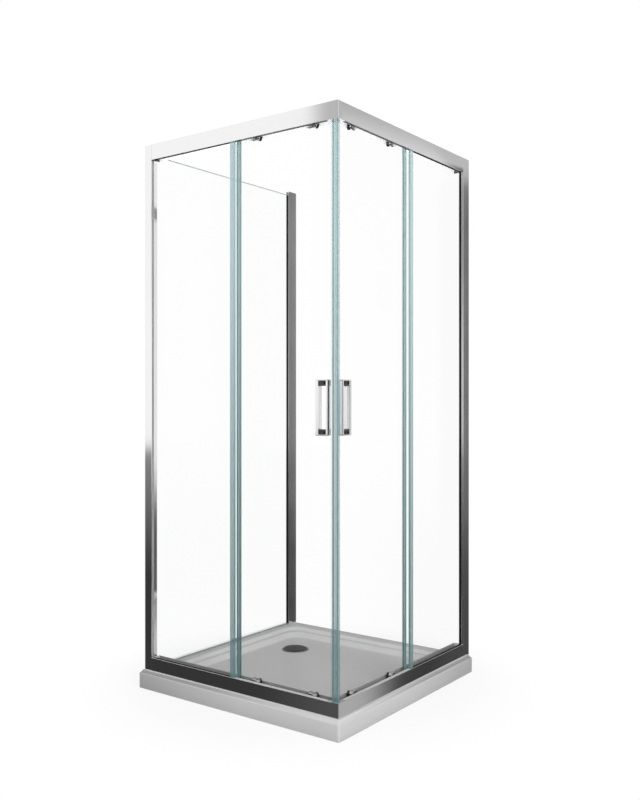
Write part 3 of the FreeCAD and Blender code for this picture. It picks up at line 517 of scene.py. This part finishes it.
class SHOWER_OT_tray(bpy.types.Operator):
    """Low tray with a coved rim, two soft steps and a floor that falls to the waste"""
    bl_idname = "shower.tray"
    bl_label = "Tray"

    def execute(self, context):
        low, high = (np.array(corner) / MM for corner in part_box("shower_tray"))
        top = high[2]
        cover_low, cover_high = (np.array(corner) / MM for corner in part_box("waste_cover"))
        centre = (cover_low + cover_high)[:2] / 2
        floor_z, fall, ring_r = 34.0, 4.0, 56.0
        far = math.hypot(HALF + abs(centre[0]), HALF + abs(centre[1]))
        side_steps, corner_steps = 25, 13

        def square(inset, radius):
            """Rounded square, side points then corner points, four times round."""
            reach = HALF - inset
            straight = reach - radius
            run = np.linspace(-1.0, 1.0, side_steps)[:-1]
            arc = np.linspace(0.0, math.pi / 2, corner_steps)[:-1]
            px = np.concatenate([np.full(run.size, reach), straight + radius * np.cos(arc)])
            py = np.concatenate([run * straight, straight + radius * np.sin(arc)])
            turns = [(px, py), (-py, px), (-px, -py), (py, -px)]
            return np.stack([np.concatenate([t[0] for t in turns]), np.concatenate([t[1] for t in turns])], -1)

        def soft(amount):
            return amount * amount * (3 - 2 * amount)

        def flat(outline, z):
            return np.concatenate([outline, np.broadcast_to(z, outline.shape[:1])[:, None]], axis=1)

        def fallen(outline):
            away = np.linalg.norm(outline - centre, axis=1)
            return floor_z + fall * np.clip((away - ring_r) / (far - ring_r), 0.0, 1.0)

        rings = [flat(square(1.5, 6.0), 0.0), flat(square(0.4, 6.7), 0.5), flat(square(0.0, 7.0), 1.6)]
        rings.append(flat(square(0.0, 7.0), 27.0))
        arc = np.linspace(0.0, math.pi / 2, 6)
        for inset, z in zip(2.5 * (1 - np.cos(arc)), 53.0 + 2.5 * np.sin(arc)):
            rings.append(flat(square(inset, 7.0 - inset), z))
        for turn in np.linspace(math.asin(2.5 / 9.5) + 0.06, math.pi / 2 - 0.1, 10):
            inset = 9.5 * math.sin(turn)
            rings.append(flat(square(inset, max(7.0 - inset, 0.6)), top - 9.5 * math.cos(turn)))
        rings.append(flat(square(9.9, 0.8), top - 0.25))
        rings.append(flat(square(10.6, 1.0), top))
        rings.append(flat(square(34.0, 26.0), top))
        rings.append(flat(square(56.0, 52.0), top))
        for amount in np.linspace(0.0, 1.0, 15):
            rings.append(flat(square(59.0 + 13.0 * amount, 56.0 + 4.0 * amount), top - 12.0 * soft(amount)))
        for amount in np.linspace(0.0, 1.0, 15):
            outline = square(86.0 + 22.0 * amount, 60.0)
            edge = top - 12.0
            rings.append(flat(outline, edge + (fallen(outline) - edge) * soft(amount)))
        inner = square(108.0, 60.0)
        bearing = np.arctan2(inner[:, 1] - centre[1], inner[:, 0] - centre[0])

        def circle(radius):
            return centre + radius * np.stack([np.cos(bearing), np.sin(bearing)], axis=1)

        for amount in np.linspace(0.08, 1.0, 14):
            outline = inner + (circle(ring_r + 5.0) - inner) * amount
            rings.append(flat(outline, fallen(outline)))
        for radius, z in ((58.5, 34.0), (57.2, 33.9), (56.2, 33.4), (55.6, 32.6), (54.6, 31.9), (53.4, 31.5)):
            rings.append(flat(circle(radius), z))
        for radius, z in ((45.0, 31.5), (45.0, 20.0), (62.0, 20.0), (62.0, 0.0)):
            rings.append(flat(circle(radius), z))
        under = square(1.5, 6.0)
        for amount in np.linspace(0.1, 0.9, 6):
            rings.append(flat(circle(62.0) + (under - circle(62.0)) * amount, 0.0))
        points = np.array(rings) * MM
        faces = grid_faces(points.shape[0], points.shape[1], True, True)
        piece = add_piece("tray_shell", [(points, faces)], "enclosure", 40.0, ["shower_tray"])
        paint(piece, acrylic_finish("sanitary_acrylic", context.scene.shower_colours.tray))
        return {"FINISHED"}


class SHOWER_OT_waste(bpy.types.Operator):
    """Domed waste cover with a rounded rim, three feet and a skirt, all turned about the waste's axis"""
    bl_idname = "shower.waste"
    bl_label = "Waste cover"

    def execute(self, context):
        shape = context.scene.shower_shape
        low, high = (np.array(corner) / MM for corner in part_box("waste_cover"))
        centre = (low + high) / 2
        radius, top = (high[0] - low[0]) / 2, high[2]
        disc = top - 2.5
        skirt = low[2]
        rim = np.linspace(0.0, math.pi / 2, 7)
        dome = np.linspace(0.0, 1.0, 9)[:-1]
        edge_r, edge_z = radius - 1.2, top - shape.cover_dome - 0.9
        profile = np.concatenate([
            np.stack([dome * edge_r, top - shape.cover_dome * dome ** 2], -1),
            np.stack([edge_r + 1.2 * np.sin(rim), edge_z + 0.9 * np.cos(rim)], -1),
            [(radius, disc + 0.5), (radius - 0.5, disc), (38.0, disc), (38.0, skirt + 0.4), (37.6, skirt),
             (35.9, skirt), (35.5, skirt + 0.4), (35.5, disc), (0.0, disc)]])
        turn = np.linspace(0.0, 2 * math.pi, shape.ring_steps, endpoint=False)[None, :]
        r, z = profile[:, 0][:, None], profile[:, 1][:, None]
        points = np.stack(np.broadcast_arrays(
            centre[0] + r * np.cos(turn), centre[1] + r * np.sin(turn), z + 0 * turn), -1) * MM
        feet = []
        for index in range(3):
            bearing = index * 2 * math.pi / 3
            outline = rounded_outline([(39.0, -3), (44.0, -3), (44.0, 3), (39.0, 3)], 1.0)
            foot = np.stack([
                centre[0] + outline[:, 0] * math.cos(bearing) - outline[:, 1] * math.sin(bearing),
                centre[1] + outline[:, 0] * math.sin(bearing) + outline[:, 1] * math.cos(bearing)], -1)
            rows = np.stack([np.column_stack([foot, np.full(len(foot), z)]) for z in (disc - 2.0, disc)]) * MM
            feet.append((rows, carried(rows)))
        parts = [(points, grid_faces(points.shape[0], points.shape[1], False, True))] + feet
        piece = add_piece("waste_cover_disc", parts, "waste_cover", 40.0, ["waste_cover"])
        paint(piece, metal_finish("waste_cover_satin", context.scene.shower_colours.cover, 0.45, "X"))
        return {"FINISHED"}


# ---------------------------------------------------------------- rails and uprights

class SHOWER_OT_rails(bpy.types.Operator):
    """Header and sill rails: their sections carried along each face, mitred at the door corner"""
    bl_idname = "shower.rails"
    bl_label = "Headers and sills"

    def execute(self, context):
        shape = context.scene.shower_shape
        colours = context.scene.shower_colours
        # Grey sill tracks and pale, glowing header tracks: painted shade and painted light.
        track = track_painted_glow_finish("track_anodised_painted_glow", [0.3, 0.3, 0.3], colours.track)
        for side, lay in SIDES.items():
            for kind in ("header", "sill"):
                node = "%s_%s" % (side, kind)
                low, high = face_box(node, lay)
                v0, v1, z0, z1, end = low[1], high[1], low[2], high[2], high[0]
                wall, web0, web1, back = 1.8, v0 + 13.8, v0 + 15.2, v1 - 1.8
                rib0, rib1, corner_end = 49.4, 50.8, 39.8
                if kind == "header":
                    ceiling = z1 - wall
                    outer = [(v0, z0), (v0 + wall, z0), (v0 + wall, ceiling), (web0, ceiling),
                             (web0, z0), (web1, z0), (web1, z1), (v0, z1)]
                    inner = [(web1, ceiling), (back, ceiling), (back, 1951.0), (rib1, 1951.0), (rib1, 1952.7),
                             (rib0, 1952.7), (rib0, 1951.0), (48.0, 1951.0), (48.0, 1949.0), (back, 1949.0),
                             (back, z0), (v1, z0), (v1, z1), (web1, z1)]
                else:
                    floor = z0 + wall
                    outer = [(v0, z0), (web1, z0), (web1, z1), (web0, z1), (web0, floor),
                             (v0 + wall, floor), (v0 + wall, z1), (v0, z1)]
                    inner = [(web1, z0), (v1, z0), (v1, z1), (back, z1), (back, floor), (rib1, floor),
                             (rib1, 74.5), (rib0, 74.5), (rib0, floor), (web1, floor)]
                axis = "X" if side == "front" else "Y"
                part = rail_part(rounded_outline(outer, shape.edge_round), corner_end, end, lay)
                piece = add_piece(node + "_rail", [part], "enclosure", 30.0, [node])
                crown = (z0 + z1) / 2 if node == "right_header" else None
                paint(piece, metal_finish(node + "_aluminium", colours.profile, 0.07, axis, crown))
                part = rail_part(rounded_outline(inner, shape.edge_round), None, end, lay)
                piece = add_piece(node + "_track", [part], "enclosure", 30.0)
                paint(piece, track)
        return {"FINISHED"}


class SHOWER_OT_uprights(bpy.types.Operator):
    """Corner post and wall profiles: their sections carried upward"""
    bl_idname = "shower.uprights"
    bl_label = "Post and wall profiles"

    def execute(self, context):
        shape = context.scene.shower_shape
        colours = context.scene.shower_colours
        low, high = face_box("corner_post", lay_front)
        s0, s1, v0, v1 = low[0], high[0], low[1], high[1]
        slot0, slot1 = 19.1, 28.1
        side0, side1 = 900.0 - slot1, 900.0 - slot0
        wall = 2.0
        inner_part = [(s0, slot1), (s0 + wall, slot1), (s0 + wall, v1 - wall), (side0, v1 - wall),
                      (side0, v1), (s0, v1)]
        outer_part = [(s0, v0), (s1, v0), (s1, v1), (side1, v1), (side1, v1 - wall), (s1 - wall, v1 - wall),
                      (s1 - wall, v0 + wall), (s0 + wall, v0 + wall), (s0 + wall, slot0), (s0, slot0)]
        post = [upright_part(rounded_outline(part, shape.edge_round * 1.3), low[2], high[2], lay_front)
                for part in (inner_part, outer_part)]
        piece = add_piece("corner_post_tube", post, "enclosure", 30.0, ["corner_post"])
        paint(piece, metal_finish("corner_post_aluminium", colours.profile, 0.07, "Z"))
        for node, lay in (("right_wall_profile", lay_right), ("left_wall_profile", lay_left)):
            low, high = face_box(node, lay)
            s0, s1, v0, v1 = low[0], high[0], low[1], high[1]
            channel = [(s0, v0), (s1, v0), (s1, v1), (s0, v1), (s0, v1 - 1.4), (s1 - 2.0, v1 - 1.4),
                       (s1 - 2.0, v0 + 1.8), (s0, v0 + 1.8)]
            part = upright_part(rounded_outline(channel, shape.edge_round), low[2], high[2], lay)
            piece = add_piece(node + "_channel", [part], "enclosure", 30.0, [node])
            paint(piece, metal_finish(node + "_aluminium", colours.profile, 0.1, "Z"))
        low, high = face_box("right_frame_profile", lay_right)
        s0, s1, v0, v1 = low[0], high[0], low[1], high[1]
        grip, wall = s0 + 26.5, 1.3
        section = [(s0, v0), (s1, v0), (s1, v0 + wall), (grip + wall, v0 + wall), (grip + wall, v1 - wall),
                   (s1, v1 - wall), (s1, v1), (s0, v1), (s0, v1 - wall), (grip, v1 - wall), (grip, v0 + wall),
                   (s0, v0 + wall)]
        part = upright_part(rounded_outline(section, shape.edge_round * 0.8), low[2], high[2], lay_right)
        piece = add_piece("right_frame_channel", [part], "enclosure", 30.0, ["right_frame_profile"])
        paint(piece, metal_finish("right_frame_aluminium", colours.profile, 0.1, "Z"))
        return {"FINISHED"}


# ---------------------------------------------------------------- doors

class SHOWER_OT_handles(bpy.types.Operator):
    """Open handle frames: rounded rectangles in step, joined through the pane and round the window"""
    bl_idname = "shower.handles"
    bl_label = "Handles"

    def execute(self, context):
        soft = context.scene.shower_shape.handle_round
        chrome = metal_finish("handle_bright_chrome", context.scene.shower_colours.chrome, 0.12, "Z")
        dark = metal_finish("handle_boss_dark", context.scene.shower_colours.inlay, 0.3, "Z")
        arc = np.linspace(0.0, math.pi / 2, 6)
        inward, outward = soft * (1 - np.cos(arc)), soft * (1 - np.sin(arc))
        for side, lay in SIDES.items():
            low, high = face_box(side + "_handle_outer", lay)
            s0, s1, z0, z1, v0, collar_v1 = low[0], high[0], low[2], high[2], low[1], high[1]
            door_v0, floor_v = v0 + 5.0, collar_v1 - 1.6
            pocket = (s0 + 5.5, s1 - 11.5, z0 + 3.2, z1 - 3.2)
            window = (pocket[0] + 0.05, pocket[1] - 0.05, z0 + 20.0, z1 - 20.0)
            collar = (pocket[0] - 1.2, pocket[1] + 1.2, z0 + 2.0, z1 - 2.0)
            rings = [(square_ring(s0, s1, z0, z1, 2.5), door_v0)]
            rings += [(square_ring(s0 + i, s1 - i, z0 + i, z1 - i, 2.5), v0 + o) for i, o in zip(inward, outward)]
            rim = 0.5 * outward / soft
            rings += [(square_ring(pocket[0] - o, pocket[1] + o, pocket[2] - o, pocket[3] + o, 1.0 + o), v0 + i)
                      for i, o in zip(0.5 * inward / soft, rim)]
            rings += [(square_ring(*pocket, 1.0), floor_v), (square_ring(*window, 1.0), floor_v),
                      (square_ring(*window, 1.0), collar_v1), (square_ring(*collar, 1.5), collar_v1),
                      (square_ring(*collar, 1.5), door_v0)]
            piece = add_piece(side + "_handle_frame", [self.frame_part(rings, lay)], side + "_door",
                              40.0, [side + "_handle_outer"])
            paint(piece, chrome)
            boss = np.array([(0.0, v0 + 6.8), (1.6, v0 + 6.8), (1.9, v0 + 6.0), (3.6, v0 + 6.0), (4.0, v0 + 6.4),
                             (4.0, floor_v), (0.0, floor_v)])
            parts = []
            for height in (z0 + 10.0, z1 - 10.0):
                points = spun(boss, (pocket[0] + pocket[1]) / 2, height, 40, lay)
                parts.append((points, grid_faces(points.shape[0], points.shape[1], False, True)))
            paint(add_piece(side + "_handle_bosses", parts, side + "_door", 40.0), dark)

            low, high = face_box(side + "_handle_inner", lay)
            v0, v1 = low[1], high[1]
            rings = [(square_ring(s0, s1, z0, z1, 2.5), v0)]
            rings += [(square_ring(s0 + i, s1 - i, z0 + i, z1 - i, 2.5), v1 - o) for i, o in zip(inward, outward)]
            rings += [(square_ring(window[0] - o, window[1] + o, window[2] - o, window[3] + o, 1.0 + o), v1 - i)
                      for i, o in zip(inward, outward)]
            seat = (collar[0] - 0.3, collar[1] + 0.3, collar[2] - 0.3, collar[3] + 0.3)
            rings += [(square_ring(*window, 1.0), collar_v1), (square_ring(*seat, 1.5), collar_v1),
                      (square_ring(*seat, 1.5), v0)]
            piece = add_piece(side + "_handle_back", [self.frame_part(rings, lay)], side + "_door",
                              40.0, [side + "_handle_inner"])
            paint(piece, chrome)
        return {"FINISHED"}

    @staticmethod
    def frame_part(rings, lay):
        """Ring-shaped surface through rounded rectangles in step, each at its own depth v."""
        outline = np.array([ring for ring, _ in rings])
        depth = np.array([v for _, v in rings])[:, None]
        points = lay(outline[..., 0], depth, outline[..., 1])
        return points, grid_faces(points.shape[0], points.shape[1], True, True)


class SHOWER_OT_clamps(bpy.types.Operator):
    """Bright bolt heads of the roller clamps: a dished and rounded profile turned about each bolt"""
    bl_idname = "shower.clamps"
    bl_label = "Clamp bolts"

    def execute(self, context):
        chrome = metal_finish("bolt_bright_chrome", context.scene.shower_colours.chrome, 0.25, "Z")
        arc = np.linspace(0.0, math.pi / 2, 6)
        for side, lay in SIDES.items():
            low, high = face_box(side + "_clamp_bolts", lay)
            v0, v1, r = low[1], high[1], 4.5
            profile = np.concatenate([
                [(0.0, v0 + 1.7), (1.9, v0 + 1.7), (2.1, v0 + 1.5), (2.1, v0 + 0.35), (2.3, v0 + 0.1), (3.0, v0)],
                np.stack([r - 1.0 + 1.0 * np.sin(arc), v0 + 1.0 * (1 - np.cos(arc))], -1),
                [(r, v0 + 3.5), (2.5, v0 + 3.5), (2.5, v1 - 0.4), (2.1, v1), (0.0, v1)]])
            parts = []
            for place in (low[0] + r, high[0] - r):
                for height in (low[2] + r, high[2] - r):
                    points = spun(profile, place, height, 48, lay)
                    parts.append((points, grid_faces(points.shape[0], points.shape[1], False, True)))
            piece = add_piece(side + "_clamp_heads", parts, side + "_door", 40.0,
                              [side + "_clamp_bolts"])
            paint(piece, chrome)
        return {"FINISHED"}


class SHOWER_OT_wheels(bpy.types.Operator):
    """Grooved wheels: a closed section turned about each axle, with a shallow ring-shaped recess in each face"""
    bl_idname = "shower.wheels"
    bl_label = "Wheels"

    def execute(self, context):
        nylon = plastic_finish("wheel_nylon", [0.66, 0.66, 0.64], 0.45)
        for side, lay in SIDES.items():
            names = ["%s_top_wheel_%d" % (side, n) for n in range(1, 5)]
            names += ["%s_bottom_wheel_%d" % (side, n) for n in range(1, 3)]
            for node in names:
                low, high = face_box(node, lay)
                place, height = (low[0] + high[0]) / 2, (low[2] + high[2]) / 2
                v0, v1 = low[1], high[1]
                flange = (high[2] - low[2]) / 2
                groove, middle, bore = flange - 1.4, (v0 + v1) / 2, 3.05
                bend = np.linspace(-1.0, 1.0, 7)
                profile = np.concatenate([
                    [(bore, v1), (bore, v0), (5.0, v0), (5.4, v0 + 0.35), (flange - 2.4, v0 + 0.35),
                     (flange - 2.0, v0), (flange - 0.35, v0), (flange, v0 + 0.35), (flange, middle - 1.25)],
                    np.stack([groove + 0.25 * bend ** 4, middle + bend], -1),
                    [(flange, middle + 1.25), (flange, v1 - 0.35), (flange - 0.35, v1), (flange - 2.0, v1),
                     (flange - 2.4, v1 - 0.35), (5.4, v1 - 0.35), (5.0, v1)]])
                points = spun(profile, place, height, 48, lay)
                faces = grid_faces(points.shape[0], points.shape[1], True, True)
                piece = add_piece(node + "_tyre", [(points, faces)], node, 40.0, [node])
                paint(piece, nylon)
        return {"FINISHED"}


# ---------------------------------------------------------------- finishes of the frame's own pieces

class SHOWER_OT_finishes(bpy.types.Operator):
    """Glass, seals, gaskets, plastic and metal on the pieces that the frame gives as they are"""
    bl_idname = "shower.finishes"
    bl_label = "Finishes"

    def execute(self, context):
        colours = context.scene.shower_colours
        faint_edge = [0.5, 0.55, 0.55]
        panes = {"front_fixed_glass": "x", "front_door_glass": "x", "right_fixed_glass": "y",
                 "right_door_glass": "y", "side_glass": "y"}
        for node, along in panes.items():
            edge = faint_edge if node == "side_glass" else colours.glass_edge
            paint(NODES[node], pane_finish(node + "_clear", node, along, edge))
        for node, side, clearness in (
            ("front_magnet_seal", "front", 0.6), ("right_magnet_seal", "right", 0.6),
            ("front_trailing_seal", "front", 0.3), ("right_trailing_seal", "right", 0.3),
            ("front_overlap_seal", "front", 0.3), ("right_overlap_seal", "right", 0.3),
            ("side_bottom_seal", "left", 0.9),
        ):
            paint(NODES[node], clear_finish(node, side, colours.seal_low, colours.seal_high, clearness))
        rubber = plastic_finish("gasket_rubber", [0.03, 0.03, 0.032], 0.6, 60.0)
        for node in ("right_glass_gasket", "side_glass_gasket", "waste_gasket"):
            paint(NODES[node], rubber)
        # Painted light: the black gasket is pale where it meets the post.
        painted_light_gasket = plastic_finish("gasket_painted_light_at_post", [0.62, 0.62, 0.62], 0.6, 60.0, 0.12, [0.03, 0.03, 0.032],
                                  ("x", -0.399, -0.397))
        paint(NODES["front_glass_gasket"], painted_light_gasket)
        dark = plastic_finish("dark_plastic", colours.dark, 0.4, 90.0)
        for node in ("front_roller_carriages", "right_roller_carriages"):
            paint(NODES[node], dark)
        plate = metal_finish("clamp_plate_chrome", [0.7, 0.7, 0.71], 0.18, "X")
        for node in ("front_clamp_plates", "right_clamp_plates"):
            paint(NODES[node], plate)
        # Painted shade: the end caps, door stops and channel fillers take the dark colour at the headers and stay
        # pale at the sills.
        light = plastic_finish("rail_plastic_painted_shade_above", [0.62, 0.62, 0.62], 0.4, 90.0, 0.12, colours.dark)
        for node in ("rail_end_caps", "door_stops", "channel_fillers"):
            paint(NODES[node], light)
        grey = plastic_finish("waste_grey_plastic", [0.22, 0.22, 0.22], 0.45, 60.0)
        for node in ("waste_body", "waste_locknut"):
            paint(NODES[node], grey)
        corner = metal_finish("corner_chrome", colours.profile, 0.08, "Z")
        for node in ("header_corner", "sill_corner"):
            paint(NODES[node], corner)
        steel = metal_finish("screw_steel", [0.6, 0.6, 0.6], 0.3, "X")
        for node in ("frame_screws", "front_handle_screws", "right_handle_screws"):
            paint(NODES[node], steel)
        inlay = metal_finish("inlay_dark_chrome", colours.inlay, 0.22, "Z")
        for node in ("front_handle_inlays", "right_handle_inlays"):
            paint(NODES[node], inlay)
        return {"FINISHED"}


# ---------------------------------------------------------------- studio

class SHOWER_OT_stage(bpy.types.Operator):
    """Pale floor, soft lights, studio world and the camera of the photograph"""
    bl_idname = "shower.stage"
    bl_label = "Studio"

    def execute(self, context):
        scene = context.scene
        scene.view_settings.view_transform = "Standard"
        reach = np.linspace(-14.0, 14.0, 15)
        gx, gy = np.meshgrid(reach, reach, indexing="ij")
        points = np.stack([gx, gy, np.full_like(gx, -0.0005)], -1)
        floor = add_piece("studio_floor", [(points, grid_faces(15, 15, False, False))], None)
        material, finish = new_finish("studio_floor_paint")
        spot, (x, y, z) = finish.place()
        away = (x * x + y * y).maths("SQRT")
        fade = finish.step(away, 0.5, 0.9, 0.8, 1.0)
        cloud = finish.grain(spot, 3.0, 2.0)
        light_path = finish.node("ShaderNodeLightPath", None, None, "Is Camera Ray")
        tone = finish.blend(light_path, [0.4, 0.4, 0.4], [0.98, 0.98, 0.98])
        matt = finish.node("ShaderNodeBsdfPrincipled", None, {
            "Base Color": tone, "Roughness": 0.85 + 0.1 * cloud})
        glow = finish.node("ShaderNodeEmission", None, {"Color": (1.0, 1.0, 1.0, 1.0), "Strength": 1.0})
        finish.output(finish.node("ShaderNodeMixShader", None, [fade * light_path, matt, glow]))
        paint(floor, material)
        floor.visible_glossy = False

        # The room as the metal shows it: bearing is the sideways share of a level direction, dz the height.
        # Each tone below is the one that a group of faces reflects toward the photograph's camera.
        world = bpy.data.worlds.new("studio_world")
        scene.world = world
        sky = Finish(world)
        direction = sky.node("ShaderNodeTexCoord", output="Generated")
        dx, dy, dz = (sky.node("ShaderNodeSeparateXYZ", None, [direction], axis) for axis in range(3))
        bearing = dx / (dx * dx + dy * dy).maths("SQRT").maths("MAXIMUM", 0.001)
        header_left = sky.step(0.0 - bearing, 0.589, 0.606, 0.46, 0.95)
        left_high = sky.step(dz, 0.05, 0.15, 0.95, header_left)
        sill_left = sky.step(0.0 - bearing, 0.58, 0.66, 0.075, 0.036)
        left_tone = sky.step(dz, -0.062, -0.048, sky.step(dz, -0.2, -0.06, sill_left, 0.2), left_high)
        post = sky.step(dz, -0.26, 0.05, 0.06, 0.11)
        sill_right = sky.step(bearing, 0.516, 0.560, 0.04, 0.42)
        header_right = sky.step(dz, 0.15, 0.38, 0.8, 0.42)
        facing = sky.step(dz, 0.05, 0.12, sky.step(dz, -0.2, -0.05, sill_right, 0.92), header_right)
        near = sky.step(bearing, 0.478, 0.486, sky.step(dz, 0.225, 0.24, post, 0.5), facing)
        rear_post = sky.step(dz, -0.25, 0.22, 0.02, 0.14)
        side_wall = sky.step(dz, -0.14, -0.06, 0.08, 0.85)
        far = sky.step(bearing, 0.67, 0.69, rear_post, side_wall)
        back = sky.step(dz, -0.05, 0.05, 0.95, 0.3)
        right_tone = sky.step(bearing, 0.2, 0.4, back, sky.step(bearing, 0.598, 0.604, near, far))
        studio = sky.step(dy, -0.1, 0.1, left_tone, right_tone)
        camera_ray = sky.node("ShaderNodeLightPath", None, None, "Is Camera Ray")
        glossy_ray = sky.node("ShaderNodeLightPath", None, None, "Is Glossy Ray")
        plain = sky.node("ShaderNodeMix", {"data_type": "RGBA"}, {
            0: glossy_ray, 6: sky.step(dz, 0.0, 0.8, 1.0, 0.35), 7: studio}, 2)
        seen = sky.node("ShaderNodeMix", {"data_type": "RGBA"}, {
            0: camera_ray, 6: plain, 7: (1.0, 1.0, 1.0, 1.0)}, 2)
        sky.output(sky.node("ShaderNodeBackground", None, {"Color": seen, "Strength": 1.0}))

        for name, place, size, power in (
            ("key_right", (3.4, -1.8, 1.9), 2.0, 100.0),
            ("fill_left", (-0.6, -3.9, 1.8), 2.0, 21.0),
            ("top", (0.0, 0.0, 4.6), 3.0, 14.0),
        ):
            lamp = bpy.data.lights.new(name, "AREA")
            lamp.shape = "SQUARE"
            lamp.size = size
            lamp.energy = power
            holder = bpy.data.objects.new(name, lamp)
            scene.collection.objects.link(holder)
            holder.visible_glossy = False
            holder.location = place
            aim = np.array([0.0, 0.0, 0.9]) - np.array(place)
            holder.rotation_euler = self.look(aim)

        lens = bpy.data.cameras.new("photo_camera")
        lens.lens = 893.5 / 800.0 * 36.0
        lens.sensor_width = 36.0
        lens.shift_y = -1.78 / 800.0
        camera = bpy.data.objects.new("photo_camera", lens)
        scene.collection.objects.link(camera)
        camera.location = (2.0342, -2.6970, 1.0620)
        camera.rotation_euler = self.look(np.array([-0.5935, 0.8048, 0.0]))
        scene.camera = camera
        return {"FINISHED"}

    @staticmethod
    def look(aim):
        """Turn that points a lamp or camera along aim, with its top up."""
        return Vector(aim.tolist()).to_track_quat("-Z", "Y").to_euler()


# ---------------------------------------------------------------- panel and run

STEPS = ("tray", "waste", "rails", "uprights", "handles", "clamps", "wheels", "finishes", "stage")


class SHOWER_PT_panel(bpy.types.Panel):
    """Lists the pieces in the order in which they are made"""
    bl_idname = "SHOWER_PT_panel"
    bl_label = "Corner shower enclosure"
    bl_space_type = "VIEW_3D"
    bl_region_type = "UI"
    bl_category = "Shower"

    def draw(self, context):
        for step in STEPS:
            self.layout.operator("shower." + step)
        for group in (context.scene.shower_shape, context.scene.shower_colours):
            for key in group.bl_rna.properties.keys():
                if key not in ("rna_type", "name"):
                    self.layout.prop(group, key)


CLASSES = (
    ShowerShape, ShowerColours, SHOWER_OT_tray, SHOWER_OT_waste, SHOWER_OT_rails, SHOWER_OT_uprights,
    SHOWER_OT_handles, SHOWER_OT_clamps, SHOWER_OT_wheels, SHOWER_OT_finishes, SHOWER_OT_stage, SHOWER_PT_panel,
)


def register():
    for kind in CLASSES:
        bpy.utils.register_class(kind)
    bpy.types.Scene.shower_shape = bpy.props.PointerProperty(type=ShowerShape)
    bpy.types.Scene.shower_colours = bpy.props.PointerProperty(type=ShowerColours)


def unregister():
    del bpy.types.Scene.shower_colours
    del bpy.types.Scene.shower_shape
    for kind in reversed(CLASSES):
        bpy.utils.unregister_class(kind)


def main():
    register()
    for step in STEPS:
        getattr(bpy.ops.shower, step)()


if __name__ == "__main__":
    main()
